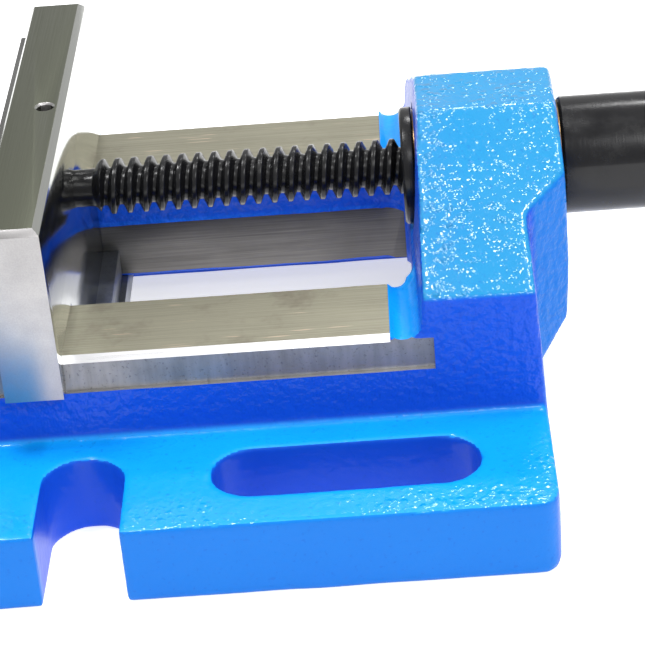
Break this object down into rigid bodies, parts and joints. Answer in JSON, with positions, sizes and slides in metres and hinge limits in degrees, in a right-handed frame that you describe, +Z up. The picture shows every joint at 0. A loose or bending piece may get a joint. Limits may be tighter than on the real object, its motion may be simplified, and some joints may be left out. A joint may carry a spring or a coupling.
{
  "type": "machine vise",
  "caption": "Drill press vise: slotted painted iron bed with ground ways, sliding jaw with keeper, sliding screw and turning nut sleeve with tommy bar.",
  "frame": {"origin": "centre of the bed's lower face, midway between the two open slots and on the screw's vertical plane", "axes": "+X along the bed from the fixed jaw to the handle, +Y across the bed, +Z up from the table"},
  "size_m": [0.344, 0.196, 0.0778],
  "materials": {
    "painted_iron": "gloss enamel over rough casting",
    "ground_steel": "surface ground",
    "plate_steel": "hardened and ground",
    "guide_steel": "milled",
    "black_oxide": "oil-blackened, satin",
    "bronze": "turned",
    "bright_steel": "drawn bright",
    "knob_plastic": "moulded, polished"
  },
  "bodies": {
    "bed": {"base_casting": "painted_iron", "fixed_jaw_plate": "plate_steel", "fixed_jaw_screws": "black_oxide", "boss_bush": "bronze"},
    "sliding_jaw": {"moving_jaw": "ground_steel", "moving_jaw_plate": "plate_steel", "moving_jaw_screws": "black_oxide", "guide_block": "guide_steel", "keeper_plate": "guide_steel", "keeper_screws": "black_oxide", "keeper_washers": "bright_steel", "guide_dowels": "bright_steel", "spindle": "black_oxide", "spindle_pin": "bright_steel"},
    "sleeve": {"nut_sleeve": "black_oxide", "inner_thrust_washer": "bronze", "outer_thrust_washer": "bronze", "handle_sleeve": "black_oxide", "sleeve_set_screws": "black_oxide"},
    "bar": {"tommy_bar": "bright_steel", "front_knob": "knob_plastic", "rear_knob": "knob_plastic"}
  },
  "joints": [
    {"name": "sleeve_turn", "type": "hinge", "parent": "bed", "child": "sleeve", "pos_m": [0.1, 0, 0.0548], "axis": [1, 0, 0], "range_deg": [-2870, 6300]},
    {"name": "jaw_slide", "type": "slide", "parent": "bed", "child": "sliding_jaw", "axis": [1, 0, 0], "range_m": [-0.032, 0.0701]},
    {"name": "bar_slide", "type": "slide", "parent": "sleeve", "child": "bar", "axis": [0, 1, 0], "range_m": [-0.025, 0.025]}
  ],
  "couplings": [
    {"joint": "jaw_slide", "follows": "sleeve_turn", "m_per_rad": 0.00063662}
  ]
}
